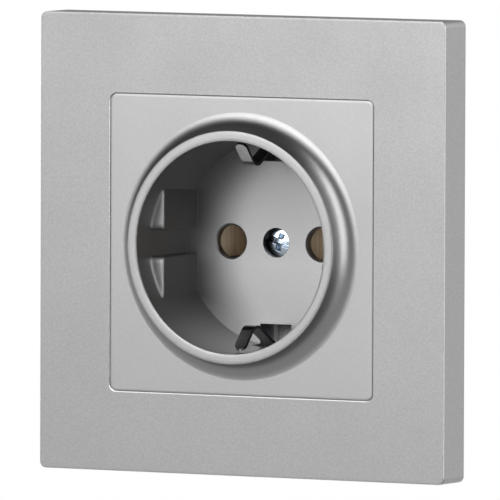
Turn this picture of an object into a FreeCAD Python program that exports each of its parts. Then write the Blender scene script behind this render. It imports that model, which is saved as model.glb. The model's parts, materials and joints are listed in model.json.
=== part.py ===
import FreeCAD, Part
import math
import os

from FreeCAD import Vector

# Type F wall socket, flush mounted, screw terminals, no claws. Millimetres.
# Origin: middle of the box screw pattern, in the wall plane. +X right, +Z up, +Y into the wall.
# The room side is -Y, so every depth below is a Y value measured from the wall plane.

# Cover frame
FRAME_DEPTH = 8.0
FRAME_CORNER_R = 1.2
FRAME_EDGE_R = 0.35
FRAME_LIP_CHAMFER = 0.15
FRAME_WALL = 1.8
FRAME_FRONT_T = 2.4
FRAME_RING_MARGIN = 5.1
FRAME_SKIRT_T = 1.5
FRAME_LEDGE_W = 2.0
FRAME_LEDGE_T = 1.4
FRAME_RIB_T = 1.2
FRAME_RIB_SPREAD = 21.0
FRAME_RING_GAP = 0.3

# Central plate with its collar, cove and plug well
PLATE_MARGIN = 2.8
PLATE_T = 2.2
PLATE_CORNER_R = 1.25
PLATE_EDGE_R = 0.25
PLATE_GAP = 0.1
PLATE_RIM_T = 1.2
PLATE_RIM_H = 3.0
COLLAR_WALL = 1.83
COLLAR_HEIGHT = 4.4
COLLAR_CHAMFER = 0.1
COVE_R = 3.2
WELL_FLOOR_R = 19.05
WELL_DRAFT = 0.62
WELL_DEPTH = 18.1
WELL_WALL = 1.6
FLOOR_T = 1.6
GUIDE_INSET = 3.07
GUIDE_GROOVE_HALF = 2.45
GUIDE_GROOVE_R = 1.0
GUIDE_DROP = 5.0
GUIDE_EDGE_R = 0.25

# Pins of the plug and their holes
PIN_SPACING = 19.0
PIN_R = 2.4
PIN_LENGTH = 19.0
PIN_HOLE_R = 3.05
PIN_HOLE_CHAMFER = 0.3

# Centre screw, its hole in the floor and the boss behind it
SCREW_THREAD_R = 1.5
SCREW_HEAD_R = 2.45
SCREW_HEAD_H = 1.9
SCREW_DOME_H = 0.45
SCREW_SINK = 1.3
SCREW_LENGTH = 9.0
SCREW_TIP_CHAMFER = 0.4
SCREW_HOLE_R = 2.75
SCREW_PASS_R = 1.7
SCREW_BOSS_R = 4.5
SCREW_SEAT_T = 1.5
RECESS_ARM = 1.35
RECESS_W = 0.62
RECESS_DEPTH = 0.9
RECESS_TURN = 17.0

# Notches in the well floor for the earth clips, each with a sleeve behind it
NOTCH_HALF_W = 3.25
NOTCH_INSET = 3.95
NOTCH_CLIP_GAP = 0.45
NOTCH_CHANNEL_H = 3.4
SLEEVE_T = 0.9
SLEEVE_GAP = 0.2

# Earth strap: one bent strip with a spring clip at each end
STRAP_T = 0.6
STRAP_GAP = 0.1
STRAP_PLATE_HALF_W = 4.0
STRAP_PLATE_TOP = 8.0
STRAP_SLEEVE_GAP = 2.2
STRAP_ARM_HALF_W = 2.2
STRAP_BEND_R = 1.1
STRAP_CORNER_R = 1.0
CLIP_HALF_W = 1.15
CLIP_LEG_OUT = 0.3
CLIP_LEG_END = 17.4
CLIP_VERTEX_DROP = 8.4
CLIP_VERTEX_INSET = 5.27
CLIP_APEX_R = 2.5
CLIP_TIP_DROP = 4.0
CLIP_TIP_INSET = 0.62
CLIP_NECK = 6.9
CLIP_TIP_R = 1.13

# Threaded bush riveted into the middle of the strap
BUSH_R = 2.4
BUSH_FLANGE_R = 3.0
BUSH_FLANGE_T = 0.8
BUSH_LENGTH = 6.4
BUSH_CLEARANCE = 0.05

# Steel support ring
RING_SIDE = 71.0
RING_T = 1.0
RING_CORNER_CUT = 15.0
RING_WELL_GAP = 0.63
RING_EDGE_R = 2.5
BOX_SCREW_SPACING = 60.0
SLOT_HALF_W = 2.1
SLOT_LENGTH = 7.4

# Insulating base and rear cover
BASE_WELL_GAP = 1.0
BASE_ARM_T = 3.85
BASE_FRONT_GAP = 0.2
BASE_BACK = 27.2
COVER_T = 1.8
COVER_CHAMFER = 0.6
COVER_PAD_H = 3.0
COVER_PAD_GAP = 0.8
POCKET_GAP = 0.2

# Pin contacts: a brass strip bent to a fork, with a steel spring clip round its throat
CONTACT_T = 0.5
CONTACT_HALF_W = 3.0
CONTACT_PRELOAD = 0.15
CONTACT_MOUTH = 3.15
CONTACT_HEEL = 2.95
CONTACT_MOUTH_GAP = 0.3
CONTACT_THROAT_START = 3.2
CONTACT_THROAT_END = 8.0
CONTACT_HEEL_START = 10.5
CONTACT_BEND_R = 0.8
CONTACT_TIP_GAP = 0.2
CONTACT_TONGUE_HALF_W = 2.4
CHAMBER_HALF_X = 4.1
CHAMBER_HALF_Z = 3.9
SPRING_T = 0.4
SPRING_H = 3.0
SPRING_INSET = 0.7
SPRING_BEND_R = 0.35
SPRING_GAP = 0.15

# Screw terminals: bar, clamp plate and screw, wires coming in from the rear
TERMINAL_X = 12.0
TERMINAL_Y = 18.5
BAR_T = 1.0
TERMINAL_DEPTH = 8.3
BAR_HALF_W = 5.0
BAR_LEG_HALF_W = 3.0
BAR_FRONT = 13.6
BAR_COLLAR_R = 2.6
BAR_COLLAR_H = 1.6
TERMINAL_HALF_W = 5.4
WIRE_HOLE_R = 1.6
WIRE_OFFSET = 3.5
WIRE_GAP = 0.1
CLAMP_HALF_W = 4.6
CLAMP_HALF_L = 4.0
CLAMP_T = 1.0
CLAMP_HOLE_R = 2.0
CLAMP_CORNER = 0.9
TERMINAL_SCREW_R = 1.75
TERMINAL_HEAD_R = 3.1
TERMINAL_HEAD_H = 2.3
TERMINAL_TIP = 1.0
TERMINAL_SLOT_W = 0.9
TERMINAL_SLOT_D = 1.1

# Rivets and the screws of the rear cover
RIVET_R = 1.0
RIVET_HEAD_R = 1.8
RIVET_HEAD_H = 0.6
RIVET_HEAD_CHAMFER = 0.3
RIVET_MARGIN = 0.4
RING_RIVET_R = 1.0
RING_RIVET_HEAD_R = 1.6
RING_RIVET_ANGLE = 22.0
RING_RIVET_DEPTH = 5.5
COVER_SCREW_INSET = 6.0
COVER_SCREW_R = 1.2
COVER_SCREW_HEAD_R = 2.3
COVER_SCREW_HEAD_H = 1.1
COVER_SCREW_LENGTH = 9.0
COVER_SCREW_GAP = 0.3
FIT_GAP = 0.03

# How far a cutter reaches past the face that it opens
CUT_OVER = 1.0

# Levels and places that follow from the sizes above
FRAME_SIDE = RING_SIDE + 2 * (FRAME_RING_MARGIN + FRAME_WALL)
WELL_MOUTH_R = WELL_FLOOR_R + WELL_DRAFT
COLLAR_R = WELL_MOUTH_R + COLLAR_WALL
PLATE_SIDE = 2 * (COLLAR_R + COVE_R + PLATE_MARGIN)
GUIDE_FACE_X = WELL_MOUTH_R - GUIDE_INSET
RING_OPENING_R = WELL_MOUTH_R + WELL_WALL + RING_WELL_GAP
CLIP_LEG_Z = WELL_FLOOR_R + CLIP_LEG_OUT
NOTCH_INNER_Z = WELL_FLOOR_R - NOTCH_INSET
NOTCH_OUTER_Z = CLIP_LEG_Z + STRAP_T / 2 + NOTCH_CLIP_GAP
STRAP_PLATE_BOTTOM = NOTCH_INNER_Z - SLEEVE_T - STRAP_SLEEVE_GAP
FRONT = -FRAME_DEPTH
PLATE_BACK = FRONT + PLATE_T
RIM_Y = FRONT - COLLAR_HEIGHT
FLOOR_Y = RIM_Y + WELL_DEPTH
FLOOR_BACK = FLOOR_Y + FLOOR_T
SCREW_TOP = FLOOR_Y + SCREW_SINK
SCREW_SEAT = SCREW_TOP + SCREW_HEAD_H
BOSS_BACK = SCREW_SEAT + SCREW_SEAT_T
STRAP_FRONT = BOSS_BACK + STRAP_GAP
STRAP_BACK = STRAP_FRONT + STRAP_T
BASE_FRONT = FLOOR_BACK + BASE_FRONT_GAP
BASE_ARM_R = WELL_FLOOR_R + WELL_WALL + BASE_WELL_GAP
BASE_R = BASE_ARM_R + BASE_ARM_T
COVER_BACK = BASE_BACK + COVER_T
PIN_X = PIN_SPACING / 2
PIN_END = FLOOR_Y + PIN_LENGTH
CONTACT_THROAT = PIN_R - CONTACT_PRELOAD
HEEL_FRONT = PIN_END + CONTACT_TIP_GAP
HEEL_BACK = HEEL_FRONT + CONTACT_T
LEG_BACK = HEEL_BACK + BAR_T
BAR_BOTTOM = STRAP_PLATE_BOTTOM + POCKET_GAP
BAR_TOP = BAR_BOTTOM + BAR_T
BASE_HALF_H = BAR_TOP + TERMINAL_DEPTH
PAD_TOP = BAR_BOTTOM - POCKET_GAP
PAD_BOTTOM = PAD_TOP - COVER_PAD_H
WIRE_Z = BAR_TOP + WIRE_HOLE_R + WIRE_GAP
CLAMP_BOTTOM = WIRE_Z + WIRE_HOLE_R + WIRE_GAP
CLAMP_TOP = CLAMP_BOTTOM + CLAMP_T
RIVET_Z = PAD_BOTTOM - COVER_PAD_GAP - RIVET_HEAD_R
TONGUE_TOP = RIVET_Z + RIVET_HEAD_R + RIVET_MARGIN
COVER_SCREW_X = BASE_R - COVER_SCREW_INSET
STRAP_RIVET_Z = RIVET_HEAD_R + RIVET_MARGIN - STRAP_PLATE_BOTTOM
EARTH_LEG_TOP = STRAP_RIVET_Z + RIVET_HEAD_R + RIVET_MARGIN
RING_RIVET_PCR = (BASE_ARM_R + BASE_R) / 2
SIDES = {"left": -1, "right": 1}


def block(x, y, z):
    """A box from three (low, high) pairs."""
    corner = Vector(x[0], y[0], z[0])
    return Part.makeBox(x[1] - x[0], y[1] - y[0], z[1] - z[0], corner)


def disc(radius, y, x=0.0, z=0.0):
    """A cylinder along Y between the two values of y."""
    return Part.makeCylinder(radius, y[1] - y[0], Vector(x, y[0], z), Vector(0, 1, 0))


def post(radius, z, x, y):
    """A cylinder along Z between the two values of z, given in either order."""
    low, high = min(z), max(z)
    return Part.makeCylinder(radius, high - low, Vector(x, y, low), Vector(0, 0, 1))


def span(low, high, sign):
    """The pair (low, high), mirrored and put in order where sign is -1."""
    return tuple(sorted((sign * low, sign * high)))


def rounded_square(half, radius, y):
    """A square prism along Y with rounded corners."""
    prism = block((-half, half), y, (-half, half))
    upright = [e for e in prism.Edges if abs(e.tangentAt(0).y) > 0.99]
    return prism.makeFillet(radius, upright)


def front_edges(solid, y):
    """The edges that lie wholly in the plane at the given y."""
    return [e for e in solid.Edges if all(abs(v - y) < 1e-6 for v in (e.BoundBox.YMin, e.BoundBox.YMax))]


def stadium(half_w, length, y, along_x):
    """A slot cutter through y, with round ends, running along X or Z."""
    reach = length / 2 - half_w
    if along_x:
        ends = [disc(half_w, y, x=-reach), disc(half_w, y, x=reach)]
        middle = block((-reach, reach), y, (-half_w, half_w))
    else:
        ends = [disc(half_w, y, z=-reach), disc(half_w, y, z=reach)]
        middle = block((-half_w, half_w), y, (-reach, reach))
    return middle.fuse(ends)


def strip_face(path, radii, thickness, place):
    """The section of a bent strip: a centre line of 2-D points, a bend radius at each inner
    point and one thickness. place(u, v) puts a 2-D point in space."""
    left, right = [], []

    def add(u, v, nu, nv, kind):
        half = thickness / 2
        left.append((kind, place(u + nu * half, v + nv * half)))
        right.append((kind, place(u - nu * half, v - nv * half)))

    def unit(a, b):
        length = math.hypot(b[0] - a[0], b[1] - a[1])
        return (b[0] - a[0]) / length, (b[1] - a[1]) / length

    start = unit(path[0], path[1])
    add(*path[0], -start[1], start[0], "line")
    for before, here, after, radius in zip(path, path[1:], path[2:], radii):
        into = unit(before, here)
        out = unit(here, after)
        turn = math.atan2(into[0] * out[1] - into[1] * out[0], into[0] * out[0] + into[1] * out[1])
        back = radius * math.tan(abs(turn) / 2)
        side = math.copysign(1.0, turn)
        first = (here[0] - into[0] * back, here[1] - into[1] * back)
        last = (here[0] + out[0] * back, here[1] + out[1] * back)
        centre = (first[0] - into[1] * radius * side, first[1] + into[0] * radius * side)
        to_mid = unit(centre, here)
        mid = (centre[0] + to_mid[0] * radius, centre[1] + to_mid[1] * radius)
        add(*first, -into[1], into[0], "line")
        add(*mid, -to_mid[0] * side, -to_mid[1] * side, "arc")
        add(*last, -out[1], out[0], "line")
    end = unit(path[-2], path[-1])
    add(*path[-1], -end[1], end[0], "line")

    def edges(side):
        made = []
        points = list(side)
        i = 0
        while i < len(points) - 1:
            if points[i + 1][0] == "arc":
                made.append(Part.Arc(points[i][1], points[i + 1][1], points[i + 2][1]).toShape())
                i += 2
            else:
                made.append(Part.makeLine(points[i][1], points[i + 1][1]))
                i += 1
        return made

    caps = [Part.makeLine(left[-1][1], right[-1][1]), Part.makeLine(right[0][1], left[0][1])]
    loop = Part.__sortEdges__(edges(left) + edges(right) + caps)
    return Part.Face(Part.Wire(loop))


def cover_frame():
    """The outer frame: a hollow square with a ledge that the central plate sits on."""
    half = FRAME_SIDE / 2
    opening = PLATE_SIDE / 2 + PLATE_GAP
    skirt = opening + FRAME_SKIRT_T
    ledge = opening - FRAME_LEDGE_W
    front_back = FRONT + FRAME_FRONT_T
    skirt_back = -RING_T - FRAME_RING_GAP
    shell = rounded_square(half, FRAME_CORNER_R, (FRONT, 0))
    shell = shell.makeFillet(FRAME_EDGE_R, front_edges(shell, FRONT))
    hollow = rounded_square(half - FRAME_WALL, FRAME_EDGE_R, (front_back, CUT_OVER))
    shell = shell.cut(hollow)
    collar = rounded_square(skirt, PLATE_CORNER_R, (front_back, skirt_back))
    ribs = []
    for across in (-FRAME_RIB_SPREAD, FRAME_RIB_SPREAD):
        side = (across - FRAME_RIB_T / 2, across + FRAME_RIB_T / 2)
        reach = (-half + FRAME_WALL / 2, half - FRAME_WALL / 2)
        ribs.append(block(side, (front_back, skirt_back - FRAME_RING_GAP), reach))
        ribs.append(block(reach, (front_back, skirt_back - FRAME_RING_GAP), side))
    shell = shell.fuse([collar] + ribs)
    window = rounded_square(opening, PLATE_CORNER_R + PLATE_GAP, (FRONT - CUT_OVER, PLATE_BACK))
    through = rounded_square(ledge, PLATE_CORNER_R, (PLATE_BACK, PLATE_BACK + FRAME_LEDGE_T))
    behind = rounded_square(opening, PLATE_CORNER_R, (PLATE_BACK + FRAME_LEDGE_T, CUT_OVER))
    shell = shell.cut([window, through, behind]).removeSplitter()
    lip = [
        e for e in front_edges(shell, FRONT)
        if max(abs(e.CenterOfMass.x), abs(e.CenterOfMass.z)) < skirt
    ]
    return shell.makeChamfer(FRAME_LIP_CHAMFER, lip)


def well_profile():
    """Half section of collar, cove, well wall and floor, in the XY plane, for turning about Y."""
    cove_mid = COVE_R * (1 - math.sqrt(0.5))
    cove_outer = COLLAR_R + COVE_R
    outer_front = WELL_MOUTH_R + WELL_WALL
    outer_back = WELL_FLOOR_R + WELL_WALL
    foot = Vector(outer_front, PLATE_BACK, 0)
    inner_top = Vector(WELL_MOUTH_R, RIM_Y + COLLAR_CHAMFER, 0)
    inner_face = Vector(WELL_MOUTH_R + COLLAR_CHAMFER, RIM_Y, 0)
    outer_face = Vector(COLLAR_R - COLLAR_CHAMFER, RIM_Y, 0)
    outer_top = Vector(COLLAR_R, RIM_Y + COLLAR_CHAMFER, 0)
    cove_top = Vector(COLLAR_R, FRONT - COVE_R, 0)
    cove_foot = Vector(cove_outer, FRONT, 0)
    cove_round = Vector(COLLAR_R + cove_mid, FRONT - cove_mid, 0)
    edges = [
        Part.makeLine(inner_top, inner_face),
        Part.makeLine(inner_face, outer_face),
        Part.makeLine(outer_face, outer_top),
        Part.makeLine(outer_top, cove_top),
        Part.Arc(cove_top, cove_round, cove_foot).toShape(),
    ]
    rest = [
        cove_foot,
        Vector(cove_outer, PLATE_BACK, 0),
        foot,
        Vector(outer_back, FLOOR_BACK, 0),
        Vector(0, FLOOR_BACK, 0),
        Vector(0, FLOOR_Y, 0),
        Vector(WELL_FLOOR_R, FLOOR_Y, 0),
        inner_top,
    ]
    edges += [Part.makeLine(a, b) for a, b in zip(rest, rest[1:])]
    return Part.Face(Part.Wire(edges))


def guide_blocks():
    """The two flat guide faces of the well: what lies beyond them in the well, less the grooves."""
    reach = WELL_MOUTH_R + WELL_WALL / 2
    bore = disc(reach, (RIM_Y + GUIDE_DROP, FLOOR_Y + FLOOR_T / 2))
    blocks = []
    for sign in SIDES.values():
        for end in (1, -1):
            x = span(GUIDE_FACE_X, reach, sign)
            z = span(GUIDE_GROOVE_HALF, WELL_MOUTH_R, end)
            body = block(x, (RIM_Y + GUIDE_DROP, FLOOR_Y + FLOOR_T / 2), z)
            front = RIM_Y + GUIDE_DROP
            into_groove = [
                e for e in front_edges(body, front)
                if abs(e.CenterOfMass.z - end * GUIDE_GROOVE_HALF) < 1e-6
            ]
            body = body.makeFillet(GUIDE_GROOVE_R, into_groove)
            rounded = front + GUIDE_GROOVE_R + 1e-6
            face_edge = [
                e for e in body.Edges
                if abs(e.CenterOfMass.x - sign * GUIDE_FACE_X) < 1e-6 and e.BoundBox.YMax < rounded
            ]
            body = body.makeFillet(GUIDE_EDGE_R, face_edge)
            blocks.append(body.common(bore))
    return blocks


def notch_sleeve(end):
    """The square sleeve behind a floor notch; the strap enters through its inner wall."""
    outer = NOTCH_HALF_W + SLEEVE_T
    z = span(NOTCH_INNER_Z - SLEEVE_T, NOTCH_OUTER_Z + SLEEVE_T, end)
    sleeve = block((-outer, outer), (FLOOR_Y + FLOOR_T / 2, STRAP_BACK - SLEEVE_GAP), z)
    door_z = span(NOTCH_INNER_Z - SLEEVE_T - CUT_OVER, NOTCH_INNER_Z + CUT_OVER, end)
    door_half = STRAP_ARM_HALF_W + POCKET_GAP
    door = block((-door_half, door_half), (STRAP_FRONT - POCKET_GAP, STRAP_BACK), door_z)
    return sleeve.cut(door)


def notch_cutter(end):
    """What the notch takes away: the floor, and a short channel up the well wall."""
    y = (FLOOR_Y - NOTCH_CHANNEL_H, STRAP_BACK + CUT_OVER)
    return block((-NOTCH_HALF_W, NOTCH_HALF_W), y, span(NOTCH_INNER_Z, NOTCH_OUTER_Z, end))


def chamfered_hole(radius, chamfer, x):
    """A hole through the well floor with a small chamfer at its mouth."""
    hole = disc(radius, (FLOOR_Y - CUT_OVER, FLOOR_BACK + CUT_OVER), x=x)
    cone = Part.makeCone(
        radius + 2 * chamfer, radius, 2 * chamfer, Vector(x, FLOOR_Y - chamfer, 0), Vector(0, 1, 0)
    )
    return hole.fuse(cone)


def central_plate():
    """The square plate with the collar, the cove, the plug well and its guide blocks."""
    half = PLATE_SIDE / 2
    plate = rounded_square(half, PLATE_CORNER_R, (FRONT, PLATE_BACK))
    plate = plate.makeFillet(PLATE_EDGE_R, front_edges(plate, FRONT))
    rim_half = half + PLATE_GAP - FRAME_LEDGE_W - 2 * PLATE_GAP
    rim_back = PLATE_BACK + PLATE_RIM_H
    rim = rounded_square(rim_half, PLATE_CORNER_R, (PLATE_BACK - PLATE_T / 2, rim_back))
    rim_hole = rounded_square(rim_half - PLATE_RIM_T, PLATE_CORNER_R, (PLATE_BACK, rim_back + CUT_OVER))
    well = well_profile().revolve(Vector(0, 0, 0), Vector(0, 1, 0), 360)
    boss = disc(SCREW_BOSS_R, (FLOOR_Y + FLOOR_T / 2, BOSS_BACK))
    hollow = Part.makeCone(
        WELL_MOUTH_R, WELL_FLOOR_R, WELL_DEPTH - COLLAR_CHAMFER,
        Vector(0, RIM_Y + COLLAR_CHAMFER, 0), Vector(0, 1, 0),
    )
    body = plate.fuse(rim.cut(rim_hole)).cut(hollow)
    sleeves = [notch_sleeve(end) for end in (1, -1)]
    body = body.fuse([well, boss] + sleeves + guide_blocks())
    cuts = [notch_cutter(end) for end in (1, -1)]
    cuts += [chamfered_hole(PIN_HOLE_R, PIN_HOLE_CHAMFER, sign * PIN_X) for sign in SIDES.values()]
    cuts.append(disc(SCREW_HOLE_R, (FLOOR_Y - CUT_OVER, SCREW_SEAT)))
    cuts.append(disc(SCREW_PASS_R, (SCREW_SEAT - CUT_OVER, BOSS_BACK + CUT_OVER)))
    return body.cut(cuts).removeSplitter()


def cross_recess(top, arm, width, depth, turn):
    """Cutter for a cross recess in a screw head whose top is at y = top."""
    y = (top - CUT_OVER, top + depth)
    bars = block((-arm, arm), y, (-width / 2, width / 2))
    bars = bars.fuse(block((-width / 2, width / 2), y, (-arm, arm)))
    bars.rotate(Vector(0, 0, 0), Vector(0, 1, 0), turn)
    return bars


def centre_screw():
    """The screw that pulls the central plate onto the insert: domed head, cross recess and slot."""
    dome_base = SCREW_TOP + SCREW_DOME_H
    head = disc(SCREW_HEAD_R, (dome_base, SCREW_SEAT))
    sphere_r = (SCREW_HEAD_R ** 2 + SCREW_DOME_H ** 2) / (2 * SCREW_DOME_H)
    dome = Part.makeSphere(sphere_r, Vector(0, SCREW_TOP + sphere_r, 0))
    dome = dome.common(disc(SCREW_HEAD_R, (SCREW_TOP - CUT_OVER, dome_base)))
    shank = disc(SCREW_THREAD_R, (SCREW_SEAT, SCREW_SEAT + SCREW_LENGTH))
    tip = front_edges(shank, SCREW_SEAT + SCREW_LENGTH)
    shank = shank.makeChamfer(SCREW_TIP_CHAMFER, tip)
    screw = head.fuse([dome, shank]).removeSplitter()
    cross = cross_recess(SCREW_TOP, RECESS_ARM, RECESS_W, RECESS_DEPTH, RECESS_TURN)
    slot = block(
        (-SCREW_HEAD_R, SCREW_HEAD_R), (SCREW_TOP - CUT_OVER, SCREW_TOP + RECESS_DEPTH / 2),
        (-RECESS_W / 2, RECESS_W / 2),
    )
    slot.rotate(Vector(0, 0, 0), Vector(0, 1, 0), RECESS_TURN)
    return screw.cut([cross, slot])


def support_ring():
    """The flat steel ring that the box screws pass through."""
    half = RING_SIDE / 2
    cut = half - RING_CORNER_CUT
    corners = [
        (cut, half), (half, cut), (half, -cut), (cut, -half),
        (-cut, -half), (-half, -cut), (-half, cut), (-cut, half),
    ]
    loop = [Vector(x, -RING_T, z) for x, z in corners]
    plate = Part.Face(Part.makePolygon(loop + loop[:1])).extrude(Vector(0, RING_T, 0))
    upright = [e for e in plate.Edges if abs(e.tangentAt(0).y) > 0.99]
    plate = plate.makeFillet(RING_EDGE_R, upright)
    through = (-RING_T - CUT_OVER, CUT_OVER)
    cuts = [disc(RING_OPENING_R, through)]
    for sign in SIDES.values():
        across = stadium(SLOT_HALF_W, SLOT_LENGTH, through, True)
        across.translate(Vector(sign * BOX_SCREW_SPACING / 2, 0, 0))
        upright_slot = stadium(SLOT_HALF_W, SLOT_LENGTH, through, False)
        upright_slot.translate(Vector(0, 0, sign * BOX_SCREW_SPACING / 2))
        cuts += [across, upright_slot]
    cuts += [disc(RING_RIVET_R + FIT_GAP, through, x=x, z=z) for x, z in ring_rivet_places()]
    return plate.cut(cuts)


def ring_rivet_places():
    """X and Z of the four rivets that hold the ring on the base."""
    angle = math.radians(RING_RIVET_ANGLE)
    x = RING_RIVET_PCR * math.cos(angle)
    z = RING_RIVET_PCR * math.sin(angle)
    return [(a * x, b * z) for a in (1, -1) for b in (1, -1)]


def base_outline(radius, half_h, y):
    """A round prism along Y with a flat at the top and one at the bottom."""
    return disc(radius, y).common(block((-radius, radius), y, (-half_h, half_h)))


def socket_base():
    """The moulded base: arms up to the ring, chambers for the contacts and the three terminals."""
    base = base_outline(BASE_R, BASE_HALF_H, (0, BASE_BACK))
    far = BASE_R + CUT_OVER
    cuts = [disc(BASE_ARM_R, (-CUT_OVER, BASE_FRONT))]
    plate_half = STRAP_PLATE_HALF_W + POCKET_GAP
    strap_z = (-BAR_BOTTOM - POCKET_GAP, STRAP_PLATE_TOP + POCKET_GAP)
    cuts.append(block((-plate_half, plate_half), (0, STRAP_BACK), strap_z))
    cuts.append(disc(SCREW_BOSS_R + POCKET_GAP, (0, STRAP_FRONT)))
    arm_half = STRAP_ARM_HALF_W + POCKET_GAP
    cuts.append(block((-arm_half, arm_half), (0, STRAP_BACK), (-far, far)))
    sleeve_half = NOTCH_HALF_W + SLEEVE_T + POCKET_GAP
    for end in (1, -1):
        z = span(NOTCH_INNER_Z - SLEEVE_T - POCKET_GAP, far, end)
        cuts.append(block((-sleeve_half, sleeve_half), (0, STRAP_BACK), z))
    bush_end = STRAP_BACK + BUSH_FLANGE_T + BUSH_LENGTH
    cuts.append(disc(BUSH_FLANGE_R + POCKET_GAP, (STRAP_BACK, bush_end + POCKET_GAP)))
    for sign in SIDES.values():
        cuts += contact_chamber(sign)
        cuts += terminal_chamber(sign * TERMINAL_X, 1, BAR_FRONT - POCKET_GAP)
        pilot = (COVER_BACK - COVER_SCREW_LENGTH - COVER_SCREW_HEAD_H, BASE_BACK + CUT_OVER)
        cuts.append(disc(COVER_SCREW_R + FIT_GAP, pilot, x=sign * COVER_SCREW_X))
    cuts += terminal_chamber(0, -1, STRAP_BACK)
    cuts += earth_leg_pocket()
    for x, z in ring_rivet_places():
        cuts.append(disc(RING_RIVET_R + FIT_GAP, (-CUT_OVER, RING_RIVET_DEPTH), x=x, z=z))
    base = base.cut(cuts)
    return base.removeSplitter()


def contact_chamber(sign):
    """Cutters for one pin contact, its tongue, its rivet and the leg of its terminal bar."""
    x = sign * PIN_X
    back = BASE_BACK + CUT_OVER
    body = block((x - CHAMBER_HALF_X, x + CHAMBER_HALF_X), (0, back), (-CHAMBER_HALF_Z, CHAMBER_HALF_Z))
    half = BAR_LEG_HALF_W + POCKET_GAP
    head_front = HEEL_FRONT - RIVET_HEAD_H - POCKET_GAP
    tongue = block((x - half, x + half), (head_front, back), (0, TONGUE_TOP + POCKET_GAP))
    leg = block((x - half, x + half), (HEEL_BACK, back), (0, BAR_TOP))
    return [body, tongue, leg]


def terminal_chamber(x, sign, front):
    """Cutters for one screw terminal, open at the flat of the base for the screwdriver."""
    back = BASE_BACK + CUT_OVER
    room = block((x - TERMINAL_HALF_W, x + TERMINAL_HALF_W), (front, back), span(BAR_BOTTOM, BASE_R, sign))
    low = BAR_BOTTOM - BAR_COLLAR_H - TERMINAL_TIP - POCKET_GAP
    well = post(BAR_COLLAR_R + POCKET_GAP, span(low, BAR_TOP, sign), x, TERMINAL_Y)
    return [room, well]


def earth_leg_pocket():
    """Cutters for the leg of the earth bar behind the strap, and for its rivet."""
    half = BAR_LEG_HALF_W + POCKET_GAP
    leg_back = STRAP_BACK + BAR_T
    leg = block((-half, half), (STRAP_FRONT, leg_back), (-BAR_TOP, EARTH_LEG_TOP + POCKET_GAP))
    tail_y = (STRAP_FRONT, leg_back + RIVET_HEAD_H + POCKET_GAP)
    tail = disc(RIVET_HEAD_R + POCKET_GAP, tail_y, z=STRAP_RIVET_Z)
    return [leg, tail]


def rear_cover():
    """The plate that closes the base, with two wire holes for each terminal."""
    cover = base_outline(BASE_R, BASE_HALF_H, (BASE_BACK, COVER_BACK))
    cover = cover.makeChamfer(COVER_CHAMFER, front_edges(cover, COVER_BACK))
    pads = []
    cuts = []
    pad_y = (LEG_BACK, BASE_BACK + COVER_T / 2)
    through = (BASE_BACK - CUT_OVER, COVER_BACK + CUT_OVER)
    for sign in SIDES.values():
        x = sign * PIN_X
        half = BAR_LEG_HALF_W - POCKET_GAP
        pads.append(block((x - half, x + half), pad_y, (PAD_BOTTOM, PAD_TOP)))
        cuts.append(disc(COVER_SCREW_R + COVER_SCREW_GAP, through, x=sign * COVER_SCREW_X))
        seat = (COVER_BACK - COVER_SCREW_HEAD_H, COVER_BACK + CUT_OVER)
        cuts.append(disc(COVER_SCREW_HEAD_R + POCKET_GAP, seat, x=sign * COVER_SCREW_X))
    for x, z in wire_holes():
        cuts.append(disc(WIRE_HOLE_R, through, x=x, z=z))
    return cover.fuse(pads).cut(cuts)


def wire_holes():
    """X and Z of the six wire holes."""
    terminals = [(-TERMINAL_X, 1), (TERMINAL_X, 1), (0, -1)]
    return [(x + side * WIRE_OFFSET, sign * WIRE_Z) for x, sign in terminals for side in (-1, 1)]


def clip_path(end):
    """Centre line (y, z) of one arm of the strap, from the middle out to the clip's tip."""
    middle = STRAP_FRONT + STRAP_T / 2
    points = [
        (middle, end * STRAP_PLATE_TOP / 2),
        (middle, end * CLIP_LEG_Z),
        (RIM_Y + CLIP_LEG_END, end * CLIP_LEG_Z),
        (RIM_Y + CLIP_VERTEX_DROP, end * (WELL_MOUTH_R - CLIP_VERTEX_INSET)),
        (RIM_Y + CLIP_TIP_DROP, end * (WELL_MOUTH_R - CLIP_TIP_INSET)),
    ]
    return points, [STRAP_BEND_R, STRAP_BEND_R, CLIP_APEX_R]


def strap_arm(end):
    """One arm with its spring clip: wide in the base, narrow in the well, round at the tip."""
    points, bends = clip_path(end)
    face = strip_face(points, bends, STRAP_T, lambda y, z: Vector(-STRAP_ARM_HALF_W, y, z))
    arm = face.extrude(Vector(2 * STRAP_ARM_HALF_W, 0, 0))
    trims = []
    for sign in SIDES.values():
        x = span(CLIP_HALF_W, STRAP_ARM_HALF_W + CUT_OVER, sign)
        z = span(0, BASE_R, end)
        trims.append(block(x, (RIM_Y, CLIP_NECK), z))
    arm = arm.cut(trims)
    tip_y = RIM_Y + CLIP_TIP_DROP
    corners = [
        e for e in arm.Edges
        if abs(abs(e.CenterOfMass.x) - CLIP_HALF_W) < 1e-6
        and abs(e.CenterOfMass.y - tip_y) < STRAP_T
        and abs(e.Length - STRAP_T) < 1e-3
    ]
    return arm.makeFillet(CLIP_TIP_R, corners)


def earth_strap():
    """The earth strap: a flat middle with two arms that end in the spring clips."""
    y = (STRAP_FRONT, STRAP_BACK)
    middle = block((-STRAP_PLATE_HALF_W, STRAP_PLATE_HALF_W), y, (-STRAP_PLATE_BOTTOM, STRAP_PLATE_TOP))
    upright = [e for e in middle.Edges if abs(e.tangentAt(0).y) > 0.99]
    middle = middle.makeFillet(STRAP_CORNER_R, upright)
    strap = middle.fuse([strap_arm(1), strap_arm(-1)])
    hole_y = (STRAP_FRONT - CUT_OVER, STRAP_BACK + CUT_OVER)
    holes = [disc(BUSH_R, hole_y), disc(RIVET_R + FIT_GAP, hole_y, z=STRAP_RIVET_Z)]
    return strap.cut(holes).removeSplitter()


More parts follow.
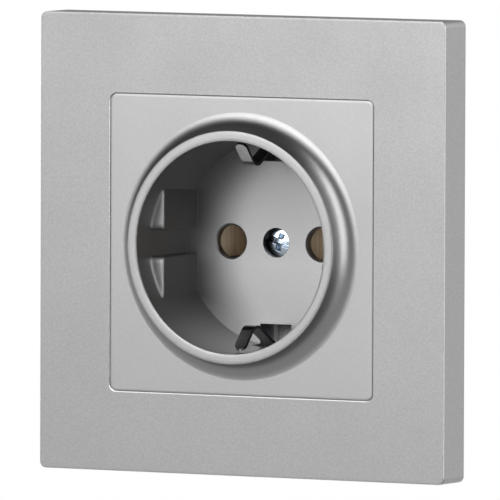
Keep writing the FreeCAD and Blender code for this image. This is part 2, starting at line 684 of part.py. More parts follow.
def centre_bush():
    """The threaded bush for the centre screw, riveted into the strap."""
    bush = disc(BUSH_R, (STRAP_FRONT, STRAP_BACK + BUSH_FLANGE_T + BUSH_LENGTH))
    bush = bush.fuse(disc(BUSH_FLANGE_R, (STRAP_BACK, STRAP_BACK + BUSH_FLANGE_T)))
    return bush.cut(disc(SCREW_THREAD_R + BUSH_CLEARANCE, (0, BASE_BACK)))


def pin_contact(sign):
    """One brass fork: flared mouth, parallel throat, wider heel, and a tongue for the rivet."""
    half_t = CONTACT_T / 2
    mouth = FLOOR_BACK + CONTACT_MOUTH_GAP
    heel = HEEL_FRONT + half_t
    leaf = [
        (CONTACT_MOUTH + half_t, mouth),
        (CONTACT_THROAT + half_t, mouth + CONTACT_THROAT_START),
        (CONTACT_THROAT + half_t, mouth + CONTACT_THROAT_END),
        (CONTACT_HEEL + half_t, mouth + CONTACT_HEEL_START),
        (CONTACT_HEEL + half_t, heel),
    ]
    path = leaf + [(-x, y) for x, y in reversed(leaf)]
    radii = [CONTACT_BEND_R] * (len(path) - 2)
    face = strip_face(path, radii, CONTACT_T, lambda x, y: Vector(x, y, -CONTACT_HALF_W))
    fork = face.extrude(Vector(0, 0, 2 * CONTACT_HALF_W))
    tongue_x = (-CONTACT_TONGUE_HALF_W, CONTACT_TONGUE_HALF_W)
    tongue = block(tongue_x, (HEEL_FRONT, HEEL_BACK), (0, TONGUE_TOP))
    hole_y = (HEEL_FRONT - CUT_OVER, HEEL_BACK + CUT_OVER)
    fork = fork.fuse(tongue).cut(disc(RIVET_R + FIT_GAP, hole_y, z=RIVET_Z))
    fork.translate(Vector(sign * PIN_X, 0, 0))
    return fork.removeSplitter()


def contact_spring(sign):
    """The steel clip that presses the two leaves of a fork together."""
    half_t = SPRING_T / 2
    x = CONTACT_THROAT + CONTACT_T + half_t
    low = -CONTACT_HALF_W - SPRING_GAP - half_t
    high = CONTACT_HALF_W - SPRING_T
    path = [(-x, high), (-x, low), (x, low), (x, high)]
    y = FLOOR_BACK + CONTACT_MOUTH_GAP + CONTACT_THROAT_START + SPRING_INSET
    face = strip_face(path, [SPRING_BEND_R] * 2, SPRING_T, lambda u, v: Vector(u, y, v))
    spring = face.extrude(Vector(0, SPRING_H, 0))
    spring.translate(Vector(sign * PIN_X, 0, 0))
    return spring


def terminal_plate(x, sign, y):
    """The flat of a terminal bar with its plunged, threaded hole."""
    flat = block((x - BAR_HALF_W, x + BAR_HALF_W), y, span(BAR_BOTTOM, BAR_TOP, sign))
    collar = post(BAR_COLLAR_R, span(BAR_BOTTOM - BAR_COLLAR_H, BAR_TOP, sign), x, TERMINAL_Y)
    bore = post(TERMINAL_SCREW_R + BUSH_CLEARANCE, span(0, BASE_R, sign), x, TERMINAL_Y)
    return flat, collar, bore


def terminal_bar(sign):
    """Brass bar from a pin contact to its terminal."""
    flat, collar, bore = terminal_plate(sign * TERMINAL_X, 1, (BAR_FRONT, LEG_BACK))
    x = sign * PIN_X
    leg = block(
        (x - BAR_LEG_HALF_W, x + BAR_LEG_HALF_W), (HEEL_BACK, LEG_BACK),
        (RIVET_Z - RIVET_HEAD_R - RIVET_MARGIN, BAR_TOP),
    )
    hole = disc(RIVET_R + FIT_GAP, (HEEL_BACK - CUT_OVER, LEG_BACK + CUT_OVER), x=x, z=RIVET_Z)
    return flat.fuse([collar, leg]).cut([bore, hole]).removeSplitter()


def earth_bar():
    """Brass bar from the strap to the earth terminal."""
    flat, collar, bore = terminal_plate(0, -1, (STRAP_BACK, LEG_BACK))
    leg_y = (STRAP_BACK, STRAP_BACK + BAR_T)
    leg = block((-BAR_LEG_HALF_W, BAR_LEG_HALF_W), leg_y, (-BAR_TOP, EARTH_LEG_TOP))
    hole = disc(RIVET_R + FIT_GAP, (leg_y[0] - CUT_OVER, leg_y[1] + CUT_OVER), z=STRAP_RIVET_Z)
    return flat.fuse([collar, leg]).cut([bore, hole]).removeSplitter()


def clamp_plate(x, sign):
    """The square plate under a terminal screw."""
    plate = block(
        (x - CLAMP_HALF_W, x + CLAMP_HALF_W), (TERMINAL_Y - CLAMP_HALF_L, TERMINAL_Y + CLAMP_HALF_L),
        span(CLAMP_BOTTOM, CLAMP_TOP, sign),
    )
    upright = [e for e in plate.Edges if abs(e.tangentAt(0).z) > 0.99]
    plate = plate.makeChamfer(CLAMP_CORNER, upright)
    through = span(CLAMP_BOTTOM - CUT_OVER, CLAMP_TOP + CUT_OVER, sign)
    return plate.cut(post(CLAMP_HOLE_R, through, x, TERMINAL_Y))


def terminal_screw(x, sign):
    """One slotted terminal screw, backed off so that a wire can enter."""
    top = CLAMP_TOP + TERMINAL_HEAD_H
    tip = BAR_BOTTOM - BAR_COLLAR_H - TERMINAL_TIP
    head = post(TERMINAL_HEAD_R, span(CLAMP_TOP, top, sign), x, TERMINAL_Y)
    shank = post(TERMINAL_SCREW_R, span(tip, CLAMP_TOP, sign), x, TERMINAL_Y)
    slot = block(
        (x - TERMINAL_HEAD_R - CUT_OVER, x + TERMINAL_HEAD_R + CUT_OVER),
        (TERMINAL_Y - TERMINAL_SLOT_W / 2, TERMINAL_Y + TERMINAL_SLOT_W / 2),
        span(top - TERMINAL_SLOT_D, top + CUT_OVER, sign),
    )
    return head.fuse(shank).cut(slot)


def terminal_screws():
    """The three terminal screws."""
    places = [(-TERMINAL_X, 1), (TERMINAL_X, 1), (0, -1)]
    return Part.makeCompound([terminal_screw(x, sign) for x, sign in places])


def rivet(y, x, z):
    """A solid rivet through y, with a head at each end."""
    shank = disc(RIVET_R, y, x=x, z=z)
    first = disc(RIVET_HEAD_R, (y[0] - RIVET_HEAD_H, y[0]), x=x, z=z)
    second = disc(RIVET_HEAD_R, (y[1], y[1] + RIVET_HEAD_H), x=x, z=z)
    return shank.fuse([first, second]).removeSplitter()


def contact_rivets():
    """The rivets that join each contact, and the strap, to its terminal bar."""
    made = []
    for sign in SIDES.values():
        made.append(rivet((HEEL_FRONT, LEG_BACK), sign * PIN_X, RIVET_Z))
    made.append(rivet((STRAP_FRONT, STRAP_BACK + BAR_T), 0, STRAP_RIVET_Z))
    return Part.makeCompound(made)


def ring_rivets():
    """The four rivets that hold the support ring on the arms of the base."""
    made = []
    for x, z in ring_rivet_places():
        shank = disc(RING_RIVET_R, (-RING_T, RING_RIVET_DEPTH), x=x, z=z)
        head = disc(RING_RIVET_HEAD_R, (-RING_T - RIVET_HEAD_H, -RING_T), x=x, z=z)
        head = head.makeChamfer(RIVET_HEAD_CHAMFER, front_edges(head, -RING_T - RIVET_HEAD_H))
        made.append(shank.fuse(head))
    return Part.makeCompound(made)


def cover_screws():
    """The two screws that hold the rear cover on the base."""
    made = []
    for sign in SIDES.values():
        x = sign * COVER_SCREW_X
        seat = COVER_BACK - COVER_SCREW_HEAD_H
        head = disc(COVER_SCREW_HEAD_R, (seat, COVER_BACK), x=x)
        shank = disc(COVER_SCREW_R, (seat - COVER_SCREW_LENGTH, seat), x=x)
        cross = cross_recess(0, RECESS_ARM, RECESS_W, RECESS_DEPTH, RECESS_TURN)
        cross.rotate(Vector(0, 0, 0), Vector(0, 0, 1), 180)
        cross.translate(Vector(x, COVER_BACK, 0))
        made.append(head.fuse(shank).cut(cross))
    return Part.makeCompound(made)


def nodes():
    """Every sub-part by the name of its node."""
    made = {
        "cover_frame": cover_frame(),
        "central_plate": central_plate(),
        "centre_screw": centre_screw(),
        "support_ring": support_ring(),
        "socket_base": socket_base(),
        "rear_cover": rear_cover(),
        "earth_strap": earth_strap(),
        "centre_bush": centre_bush(),
        "earth_bar": earth_bar(),
        "clamp_plate_earth": clamp_plate(0, -1),
        "terminal_screws": terminal_screws(),
        "contact_rivets": contact_rivets(),
        "ring_rivets": ring_rivets(),
        "cover_screws": cover_screws(),
    }
    for side, sign in SIDES.items():
        made["contact_" + side] = pin_contact(sign)
        made["contact_spring_" + side] = contact_spring(sign)
        made["terminal_bar_" + side] = terminal_bar(sign)
        made["clamp_plate_" + side] = clamp_plate(sign * TERMINAL_X, 1)
    return made


os.makedirs("parts", exist_ok=True)
for name, shape in nodes().items():
    shape.exportStep("parts/" + name + ".step")
    print(name, len(shape.Solids), shape.isValid(), round(shape.Volume, 1))
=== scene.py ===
import json
import math

import bmesh
import bpy
from mathutils import Matrix, Vector


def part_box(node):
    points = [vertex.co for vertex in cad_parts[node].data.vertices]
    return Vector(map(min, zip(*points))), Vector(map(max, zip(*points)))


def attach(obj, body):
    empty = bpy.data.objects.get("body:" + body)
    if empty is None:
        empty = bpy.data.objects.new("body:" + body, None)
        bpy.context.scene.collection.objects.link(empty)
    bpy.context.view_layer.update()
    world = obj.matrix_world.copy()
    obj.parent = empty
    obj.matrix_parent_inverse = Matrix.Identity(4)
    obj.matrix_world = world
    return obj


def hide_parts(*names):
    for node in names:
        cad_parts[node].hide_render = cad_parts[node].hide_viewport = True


# Looks of the flush wall socket: studio, materials and the centre screw. Metres throughout.

MM = 0.001

# Camera, turned about the middle of the frame's front
VIEW_AZIMUTH = 28.6
VIEW_ELEVATION = 3.44
VIEW_ROLL = 0.2
VIEW_DISTANCE = 2.6
PIXELS_PER_MM = 5.433
PLATE_AT_PIXEL = (240.6, 246.6)
PICTURE_SIZE = 500
SENSOR_WIDTH = 36.0

# Head of the centre screw: a slot across it and a cross recess, turned as on the solid
SCREW_HEAD_H = 1.9 * MM
SCREW_DOME_H = 0.42 * MM
SCREW_TURN = 17.0
RECESS_ARM = 1.55 * MM
RECESS_W = 0.95 * MM
RECESS_DEPTH = 1.3 * MM
RECESS_EDGE = 0.12 * MM
THREAD_R = 1.5 * MM
THREAD_DEPTH = 0.28 * MM
THREAD_PITCH = 0.5 * MM
THREAD_STEPS = 8
THREAD_TIP = 0.4 * MM
HEAD_RINGS = 60
RING_POINTS = 240

# Where the lacquered mouldings look different. Pairs are from and to, flatness is a pull of the
# normal towards the front, and a turn is one part of the normal.
COLLAR_EDGE = (21.6 * MM, 21.7 * MM)
COLLAR_DEPTH = (-7.0 * MM, -6.8 * MM)
SEAM_INSIDE = (26.4 * MM, 26.5 * MM)
SEAM_OUTSIDE = (28.2 * MM, 28.3 * MM)
SEAM_FLATNESS = 3.0
SEAM_LEDGE_GLOSS = 0.5
SEAM_LEDGE_TURN = (0.2, 0.6)
RIM_DEPTH = (-12.35 * MM, -12.25 * MM)
RIM_FLATNESS = 1.5
OUTLINE_REACH = (41.5 * MM, 41.7 * MM)
OUTLINE_DEPTH = (-7.7 * MM, -7.5 * MM)
OUTLINE_FLATNESS = 9
OUTLINE_TURN = (-0.3, -0.1)
RIGHT_FLATNESS = 3
RIGHT_TURN = (0.58, 0.66)
# Painted shade on the screw hole's wall: within this radius from the axis its lacquer is darkened by the
# level below.
SCREW_HOLE = (3.1 * MM, 3.2 * MM)
HOLE_SHADE_LEVEL = 0.8
# Painted shade on the well's floor, darker towards its top: the share goes from the first to the second
# value between these heights.
FLOOR_DEPTH = (5.0 * MM, 5.2 * MM)
FLOOR_SHADE = (0.0, 0.44)
FLOOR_SHADE_FROM = (-4 * MM, 16 * MM)
FRONT_TURN = (-0.97, -0.9)
EDGE_SOFTNESS = 0.12 * MM
COLLAR_SOFTNESS = 0.9 * MM
FLAKE_DEPTH = 0.01 * MM
PATCH_SCALE = 60
PATCH_ROUGHNESS = 0.02

# Metal pieces
METAL_EDGE = 0.05 * MM
METAL_GRAIN_DEPTH = 0.006 * MM
DOME_TURN = (-0.95, -0.8)

# Earth strap: its tabs lean by a slope, and its cut edges and upper faces are darkened with painted shade
STRAP_LEAN = 0.5
STRAP_TAB_TURN = (-0.99, -0.95)
STRAP_TAB_ROUGHNESS = 0.4
STRAP_CUT_TURN = (0.6, 0.8)
STRAP_CUT_SHADE = 0.2
STRAP_UP_TURN = (0.2, 0.5)
STRAP_UP_SHADE = 0.15
STRAP_MIDDLE = (-1 * MM, 1 * MM)
STRAP_GRAIN = 2500
STRAP_GRAIN_DEPTH = 0.02 * MM
STRAP_SPREAD = 0.12

# Plastic pieces
PLASTIC_GRAIN = 1800
PLASTIC_GRAIN_DEPTH = 0.012 * MM
PLASTIC_EDGE = 0.15 * MM
PLASTIC_PATCH_SCALE = 90
PLASTIC_SPREAD = 0.03
PLASTIC_ROUGHNESS_SPREAD = 0.05

# Stage: the level that the camera sees, and those that light the object along each sheet
SEEN_LEVEL = 1.0
WORLD_LEVEL = 0.01
FLOOR_SIZE = (12, 12)
FLOOR_PLACE = (0, 3.0, -0.25)
FLOOR_LEVELS = (0.58, 0.95)
FLOOR_CHANGE = (-3.0, -2.9)
BACKDROP_SIZE = (24, 12)
BACKDROP_PLACE = (0, 7.0, 4.0)
BACKDROP_LEVELS = (0.5, 1.3)
BACKDROP_CHANGE = (-1.4, 1.8)

# Softboxes: azimuth and elevation in degrees, distance, width and height in metres, power in watts
SOFTBOXES = {
    "key": (-19, 11, 1.2, 0.74, 0.55, 6.8),
    "key_upper": (-19, 32, 1.2, 0.74, 0.45, 2.5),
    "side": (86, 18, 1.0, 1.3, 1.35, 17.6),
    "corner": (58, 50, 1.2, 0.6, 0.5, 1.0),
}

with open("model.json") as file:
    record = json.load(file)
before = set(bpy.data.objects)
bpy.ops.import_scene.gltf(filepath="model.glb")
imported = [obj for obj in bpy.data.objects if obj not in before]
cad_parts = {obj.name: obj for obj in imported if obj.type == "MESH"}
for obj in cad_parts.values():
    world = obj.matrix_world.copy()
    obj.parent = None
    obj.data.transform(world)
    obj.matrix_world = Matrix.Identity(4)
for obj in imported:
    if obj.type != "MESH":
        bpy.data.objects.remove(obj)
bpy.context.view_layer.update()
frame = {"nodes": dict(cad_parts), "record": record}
AIM = Vector((0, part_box("cover_frame")[0].y, 0))


def direction(azimuth, elevation):
    """Unit vector from the object towards a place round it, angles in degrees, azimuth 0 in front."""
    a, e = math.radians(azimuth), math.radians(elevation)
    return Vector((math.sin(a) * math.cos(e), -math.cos(a) * math.cos(e), math.sin(e)))


def make_camera():
    """The camera at the photo's viewing angle."""
    data = bpy.data.cameras.new("camera")
    camera = bpy.data.objects.new("camera", data)
    bpy.context.scene.collection.objects.link(camera)
    back = direction(VIEW_AZIMUTH, VIEW_ELEVATION)
    turn = back.to_track_quat("Z", "Y")
    turn = turn @ Matrix.Rotation(math.radians(VIEW_ROLL), 3, "Z").to_quaternion()
    right, up = turn @ Vector((1, 0, 0)), turn @ Vector((0, 1, 0))
    middle = PICTURE_SIZE / 2
    shift_right = (middle - PLATE_AT_PIXEL[0]) / PIXELS_PER_MM * MM
    shift_down = (middle - PLATE_AT_PIXEL[1]) / PIXELS_PER_MM * MM
    target = AIM + right * shift_right - up * shift_down
    camera.rotation_mode = "QUATERNION"
    camera.rotation_quaternion = turn
    camera.location = target + back * VIEW_DISTANCE
    data.sensor_width = SENSOR_WIDTH
    data.lens = PIXELS_PER_MM / MM * VIEW_DISTANCE * SENSOR_WIDTH / PICTURE_SIZE
    data.clip_start, data.clip_end = 0.1, 50
    bpy.context.scene.camera = camera


class Nodes:
    """A short way to build a node material."""

    def __init__(self, name):
        self.material = bpy.data.materials.new(name)
        self.material.use_nodes = True
        self.tree = self.material.node_tree
        self.tree.nodes.clear()
        self.out = self.add("ShaderNodeOutputMaterial")

    def add(self, kind, values=None, **settings):
        """A node with its settings, whose inputs take plain values or other nodes' outputs."""
        node = self.tree.nodes.new(kind)
        for key, value in settings.items():
            setattr(node, key, value)
        for key, value in (values or {}).items():
            if isinstance(value, bpy.types.NodeSocket):
                self.tree.links.new(value, node.inputs[key])
            else:
                node.inputs[key].default_value = value
        return node

    def along(self, axis, kind="Object"):
        """One coordinate of the place on the piece, or of its normal."""
        place = self.add("ShaderNodeTexCoord").outputs[kind]
        return self.add("ShaderNodeSeparateXYZ", {"Vector": place}).outputs[axis]

    def noise(self, scale, detail=2.0, stretch=(1, 1, 1)):
        """Noise in object space. Scale is in features per metre."""
        place = self.add("ShaderNodeTexCoord").outputs["Object"]
        place = self.add("ShaderNodeMapping", {"Vector": place, "Scale": stretch}).outputs["Vector"]
        values = {"Vector": place, "Scale": scale, "Detail": detail}
        return self.add("ShaderNodeTexNoise", values).outputs["Fac"]

    def math(self, operation, *values):
        """Plain arithmetic on numbers or outputs."""
        return self.add("ShaderNodeMath", dict(enumerate(values)), operation=operation).outputs[0]

    def ramp(self, factor, low, high, start=0.3, end=0.7):
        """Maps a 0 to 1 factor onto a range of plain values."""
        return self.add("ShaderNodeMapRange", {
            "Value": factor, "From Min": start, "From Max": end, "To Min": low, "To Max": high,
        }).outputs["Result"]

    def scaled(self, vector, level):
        """A vector or colour times a level."""
        product = self.add("ShaderNodeVectorMath", {0: vector, "Scale": level}, operation="SCALE")
        return product.outputs["Vector"]

    def tint(self, factor, color, spread):
        """A colour whose brightness follows a 0 to 1 factor."""
        return self.scaled(color, self.ramp(factor, 1 - spread, 1 + spread))

    def bump(self, height, depth, strength, normal):
        """Fine relief on top of a normal."""
        values = {"Height": height, "Distance": depth, "Strength": strength, "Normal": normal}
        return self.add("ShaderNodeBump", values).outputs["Normal"]

    def outline_flatness(self):
        """How flat the frame's front edges look: most at the left and below, none far round at the right."""
        across, up = self.along("X", "Normal"), self.along("Z", "Normal")
        left = self.ramp(across, OUTLINE_FLATNESS, 0, *OUTLINE_TURN)
        below = self.ramp(up, OUTLINE_FLATNESS, 0, *OUTLINE_TURN)
        right = self.ramp(across, RIGHT_FLATNESS, 0, *RIGHT_TURN)
        return self.math("ADD", self.math("ADD", left, below), right)

    def pulled(self, normal, pull):
        """A normal turned by a vector that is added to it."""
        both = self.add("ShaderNodeVectorMath", {0: normal, 1: pull}, operation="ADD").outputs["Vector"]
        return self.add("ShaderNodeVectorMath", {0: both}, operation="NORMALIZE").outputs["Vector"]

    def flattened(self, normal, amount):
        """A normal pulled towards the front."""
        return self.pulled(normal, self.scaled((0, -1, 0), amount))

    def soft_edges(self, radius):
        """The normal with sharp edges rounded."""
        return self.add("ShaderNodeBevel", {"Radius": radius}, samples=4).outputs["Normal"]

    def surface(self, **values):
        """Ends the material in a surface shader, whose inputs are given by name."""
        named = {key.replace("_", " ").title(): value for key, value in values.items()}
        shader = self.add("ShaderNodeBsdfPrincipled", named)
        self.tree.links.new(shader.outputs[0], self.out.inputs["Surface"])
        return self.material


def lacquer(name, color, roughness, seam_gloss, seam_softness, grain, spread):
    """Silver lacquer: rounder at the collar, flatter at the seam, with painted shade on the screw hole's
    wall and towards the top of the well's floor.
    """
    n = Nodes(name)
    x, y, z = n.along("X"), n.along("Y"), n.along("Z")
    from_axis = n.math("SQRT", n.math("ADD", n.math("MULTIPLY", x, x), n.math("MULTIPLY", z, z)))
    steep = n.ramp(n.along("Y", "Normal"), 0.0, 1.0, *FRONT_TURN)
    collar = n.math("MULTIPLY", n.ramp(from_axis, 1, 0, *COLLAR_EDGE), n.ramp(y, 1, 0, *COLLAR_DEPTH))
    reach = n.math("MAXIMUM", n.math("ABSOLUTE", x), n.math("ABSOLUTE", z))
    seam = n.math("MULTIPLY", n.ramp(reach, 0, 1, *SEAM_INSIDE), n.ramp(reach, 1, 0, *SEAM_OUTSIDE))
    # Painted shade: the screw hole's wall is darkened.
    hole_shade = n.math("MULTIPLY", n.ramp(from_axis, HOLE_SHADE_LEVEL, 0, *SCREW_HOLE), steep)
    # Painted shade: the well's floor gets darker towards its top.
    floor = n.math("MULTIPLY", n.math("SUBTRACT", 1.0, steep), n.ramp(y, 0, 1, *FLOOR_DEPTH))
    shade = n.math("MULTIPLY", floor, n.ramp(z, *FLOOR_SHADE, *FLOOR_SHADE_FROM))
    flakes = n.noise(grain, 1.0)
    level = n.math("SUBTRACT", n.math("SUBTRACT", 1.0, hole_shade), shade)
    base = n.scaled(n.tint(flakes, color, spread), level)
    rough = n.ramp(n.noise(PATCH_SCALE, 3.0), roughness - PATCH_ROUGHNESS, roughness + PATCH_ROUGHNESS)
    gloss = n.ramp(n.along("Z", "Normal"), seam_gloss, seam_gloss * SEAM_LEDGE_GLOSS, *SEAM_LEDGE_TURN)
    rough = n.math("SUBTRACT", rough, n.math("MULTIPLY", n.math("MULTIPLY", seam, steep), gloss))
    soft = n.math("MAXIMUM", collar, n.math("MULTIPLY", seam, seam_softness))
    rounding = n.ramp(soft, EDGE_SOFTNESS, COLLAR_SOFTNESS, 0, 1)
    rim = n.math("MULTIPLY", collar, n.ramp(y, RIM_FLATNESS, 0, *RIM_DEPTH))
    flatness = n.math("ADD", n.math("MULTIPLY", seam, SEAM_FLATNESS), rim)
    outline = n.math("MULTIPLY", n.ramp(reach, 0, 1, *OUTLINE_REACH), n.ramp(y, 1, 0, *OUTLINE_DEPTH))
    flatness = n.math("ADD", flatness, n.math("MULTIPLY", outline, n.outline_flatness()))
    normal = n.flattened(n.bump(flakes, FLAKE_DEPTH, 0.35, n.soft_edges(rounding)), flatness)
    return n.surface(base_color=base, metallic=1.0, roughness=rough, normal=normal)


def metal(name, color, roughness, grain, spread, metallic=1.0, stretch=(1, 1, 1), flatness=0.0):
    """Plated or rolled metal with a faint grain, and domes that shine as flatter ones do."""
    n = Nodes(name)
    fine = n.noise(grain, 3.0, stretch)
    base = n.tint(fine, color, spread)
    rough = n.ramp(fine, roughness * 0.8, roughness * 1.25)
    normal = n.bump(fine, METAL_GRAIN_DEPTH, 0.3, n.soft_edges(METAL_EDGE))
    normal = n.flattened(normal, n.ramp(n.along("Y", "Normal"), flatness, 0, *DOME_TURN))
    return n.surface(base_color=base, metallic=metallic, roughness=rough, normal=normal)


def strap_metal(name, color, roughness):
    """Bright strip with painted shade on its cut edges and on faces turned up, whose tabs look turned a
    little to the socket's middle.
    """
    n = Nodes(name)
    fine = n.noise(STRAP_GRAIN, 3.0)
    # Painted shade: cut edges and faces turned up are darkened.
    cut_shade = n.ramp(n.math("ABSOLUTE", n.along("X", "Normal")), 1.0, STRAP_CUT_SHADE, *STRAP_CUT_TURN)
    up_shade = n.ramp(n.along("Z", "Normal"), 1.0, STRAP_UP_SHADE, *STRAP_UP_TURN)
    base = n.scaled(n.tint(fine, color, STRAP_SPREAD), n.math("MULTIPLY", cut_shade, up_shade))
    facing = n.ramp(n.along("Y", "Normal"), STRAP_LEAN, 0.0, *STRAP_TAB_TURN)
    side = n.ramp(n.along("Z"), 1.0, -1.0, *STRAP_MIDDLE)
    lean = n.add("ShaderNodeCombineXYZ", {"Z": n.math("MULTIPLY", facing, side)}).outputs[0]
    normal = n.pulled(n.bump(fine, STRAP_GRAIN_DEPTH, 0.4, n.soft_edges(METAL_EDGE)), lean)
    rough = n.ramp(facing, roughness, STRAP_TAB_ROUGHNESS, 0, STRAP_LEAN)
    return n.surface(base_color=base, metallic=1.0, roughness=rough, normal=normal)


def plastic(name, color, roughness):
    """Plain moulded plastic with a fine spark-eroded texture."""
    n = Nodes(name)
    fine = n.noise(PLASTIC_GRAIN, 3.0)
    base = n.tint(n.noise(PLASTIC_PATCH_SCALE, 2.0), color, PLASTIC_SPREAD)
    normal = n.bump(fine, PLASTIC_GRAIN_DEPTH, 0.3, n.soft_edges(PLASTIC_EDGE))
    rough = n.ramp(fine, roughness - PLASTIC_ROUGHNESS_SPREAD, roughness + PLASTIC_ROUGHNESS_SPREAD)
    return n.surface(base_color=base, roughness=rough, normal=normal)


def make_materials():
    """One material for each slot that the record names."""
    return {
        "frame_lacquer": lacquer("frame_lacquer", (0.290, 0.290, 0.293), roughness=0.42, seam_gloss=0.2,
                                 seam_softness=0.0, grain=2600, spread=0.07),
        "plate_lacquer": lacquer("plate_lacquer", (0.299, 0.299, 0.302), roughness=0.38, seam_gloss=0.0,
                                 seam_softness=0.6, grain=3200, spread=0.03),
        "zinc_steel": metal("zinc_steel", (0.44, 0.50, 0.57), roughness=0.18, grain=900, spread=0.06,
                            flatness=1.0),
        "spring_steel": metal("spring_steel", (0.50, 0.50, 0.50), roughness=0.30, grain=900, spread=0.08),
        "strap_metal": strap_metal("strap_metal", (0.84, 0.83, 0.82), roughness=0.15),
        "contact_brass": metal("contact_brass", (1.0, 0.84, 0.64), roughness=0.40, grain=900, spread=0.20,
                               metallic=0.0, stretch=(1, 1, 0.06)),
        "base_plastic": plastic("base_plastic", (0.42, 0.42, 0.41), roughness=0.5),
        "cover_plastic": plastic("cover_plastic", (0.40, 0.40, 0.39), roughness=0.5),
    }


def dress(materials):
    """Gives each CAD node the material of its slot."""
    slots = {part["node"]: part["material_slot"] for part in frame["record"]["subparts"]}
    for name, piece in frame["nodes"].items():
        piece.data.materials.clear()
        piece.data.materials.append(materials[slots[name]])


def edge_step(distance, limit):
    """1 well inside a limit, 0 well outside it, smooth between."""
    t = min(max((limit + RECESS_EDGE - distance) / (2 * RECESS_EDGE), 0.0), 1.0)
    return t * t * (3 - 2 * t)


def recess_depth(x, z):
    """How deep the slot and the cross go at a place on the screw head."""
    turn = math.radians(SCREW_TURN)
    along = abs(x * math.cos(turn) - z * math.sin(turn))
    across = abs(x * math.sin(turn) + z * math.cos(turn))
    slot = edge_step(across, RECESS_W / 2)
    bar = slot * edge_step(along, RECESS_ARM)
    crossbar = edge_step(along, RECESS_W / 2) * edge_step(across, RECESS_ARM)
    return RECESS_DEPTH * max(slot / 2, bar, crossbar)


def screw_rings(head_r, top, end):
    """Rings of points down the screw: head with its recess, then the threaded shank."""
    angles = [2 * math.pi * i / RING_POINTS for i in range(RING_POINTS)]

    def ring(radius, y, dip=0.0):
        places = [(radius(a) * math.cos(a), radius(a) * math.sin(a)) for a in angles]
        return [(x, y + dip * recess_depth(x, z), z) for x, z in places]

    rings = []
    for i in range(1, HEAD_RINGS + 1):
        share = i / HEAD_RINGS
        rings.append(ring(lambda a: head_r * share, top + SCREW_DOME_H * share ** 2, 1.0))
    seat = top + SCREW_HEAD_H
    rings.append(ring(lambda a: head_r, seat))
    rings.append(ring(lambda a: THREAD_R - THREAD_DEPTH, seat))
    rows = round((end - seat) / THREAD_PITCH) * THREAD_STEPS
    for row in range(1, rows + 1):
        y = seat + (end - seat) * row / rows
        taper = max(0.0, y - end + THREAD_TIP)

        def threaded(a):
            turn = (y / THREAD_PITCH + a / (2 * math.pi)) % 1.0
            return THREAD_R - THREAD_DEPTH * (1 - abs(2 * turn - 1)) - taper

        rings.append(ring(threaded, y))
    return rings


def make_screw(material):
    """The centre screw with its recess and thread, in the place of the plain solid."""
    low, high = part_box("centre_screw")
    rings = screw_rings((high.x - low.x) / 2, low.y, high.y)
    shape = bmesh.new()
    centre = shape.verts.new((0, low.y + RECESS_DEPTH, 0))
    rows = [[shape.verts.new(point) for point in ring] for ring in rings]
    tip = shape.verts.new((0, high.y, 0))
    for i in range(RING_POINTS):
        after = (i + 1) % RING_POINTS
        shape.faces.new((centre, rows[0][i], rows[0][after]))
        shape.faces.new((tip, rows[-1][after], rows[-1][i]))
        for inner, outer in zip(rows, rows[1:]):
            shape.faces.new((inner[i], outer[i], outer[after], inner[after]))
    bmesh.ops.recalc_face_normals(shape, faces=shape.faces)
    mesh = bpy.data.meshes.new("screw_detail")
    shape.to_mesh(mesh)
    shape.free()
    mesh.shade_smooth()
    screw = bpy.data.objects.new("screw_detail", mesh)
    bpy.context.scene.collection.objects.link(screw)
    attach(screw, "root")
    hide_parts("centre_screw")
    mesh.materials.append(material)


def stage_material(name, axis, levels, change):
    """A sheet that the camera sees at one brightness, and the object at a level that changes along it."""
    n = Nodes(name)
    path = n.add("ShaderNodeLightPath").outputs["Is Camera Ray"]
    lit = n.ramp(n.along(axis), *levels, *change)
    grey = n.add("ShaderNodeEmission", {"Color": (1, 1, 1, 1), "Strength": lit}).outputs[0]
    white = n.add("ShaderNodeEmission", {"Color": (1, 1, 1, 1), "Strength": SEEN_LEVEL}).outputs[0]
    mixed = n.add("ShaderNodeMixShader", {0: path, 1: grey, 2: white}).outputs[0]
    n.tree.links.new(mixed, n.out.inputs["Surface"])
    return n.material


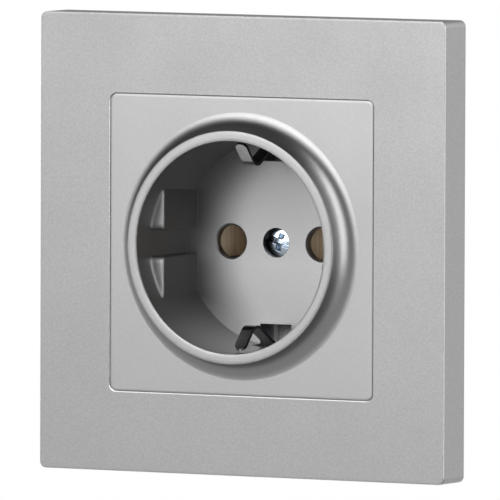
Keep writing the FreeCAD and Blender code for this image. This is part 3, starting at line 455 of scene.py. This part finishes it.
def make_sheet(name, size, place, turn, material):
    """A flat stage piece."""
    mesh = bpy.data.meshes.new(name)
    w, h = size[0] / 2, size[1] / 2
    mesh.from_pydata([(-w, -h, 0), (w, -h, 0), (w, h, 0), (-w, h, 0)], [], [(0, 1, 2, 3)])
    sheet = bpy.data.objects.new(name, mesh)
    sheet.location = place
    sheet.rotation_euler = turn
    mesh.materials.append(material)
    bpy.context.scene.collection.objects.link(sheet)


def make_world():
    """A world that the camera sees white and that hardly lights the object."""
    world = bpy.data.worlds.new("world")
    world.use_nodes = True
    tree = world.node_tree
    tree.nodes.clear()
    out = tree.nodes.new("ShaderNodeOutputWorld")
    path = tree.nodes.new("ShaderNodeLightPath")
    seen = tree.nodes.new("ShaderNodeBackground")
    lit = tree.nodes.new("ShaderNodeBackground")
    mix = tree.nodes.new("ShaderNodeMixShader")
    seen.inputs["Color"].default_value = (SEEN_LEVEL, SEEN_LEVEL, SEEN_LEVEL, 1)
    lit.inputs["Color"].default_value = (WORLD_LEVEL, WORLD_LEVEL, WORLD_LEVEL, 1)
    tree.links.new(path.outputs["Is Camera Ray"], mix.inputs[0])
    tree.links.new(lit.outputs[0], mix.inputs[1])
    tree.links.new(seen.outputs[0], mix.inputs[2])
    tree.links.new(mix.outputs[0], out.inputs["Surface"])
    bpy.context.scene.world = world


def make_stage():
    """Pale floor below the socket, with a backdrop and a white world behind."""
    pale = stage_material("floor", "Y", FLOOR_LEVELS, FLOOR_CHANGE)
    make_sheet("floor", FLOOR_SIZE, FLOOR_PLACE, (0, 0, 0), pale)
    white = stage_material("backdrop", "X", BACKDROP_LEVELS, BACKDROP_CHANGE)
    make_sheet("backdrop", BACKDROP_SIZE, BACKDROP_PLACE, (math.radians(90), 0, 0), white)
    make_world()


def make_light(name, azimuth, elevation, distance, width, height, power):
    """A softbox that faces the socket."""
    data = bpy.data.lights.new(name, "AREA")
    data.shape = "RECTANGLE"
    data.size, data.size_y = width, height
    data.energy = power
    light = bpy.data.objects.new(name, data)
    way = direction(azimuth, elevation)
    light.location = AIM + way * distance
    light.rotation_mode = "QUATERNION"
    light.rotation_quaternion = way.to_track_quat("Z", "Y")
    bpy.context.scene.collection.objects.link(light)


make_camera()
make_stage()
for softbox, values in SOFTBOXES.items():
    make_light(softbox, *values)
materials = make_materials()
dress(materials)
make_screw(materials["zinc_steel"])
bpy.context.scene.view_settings.view_transform = "Standard"
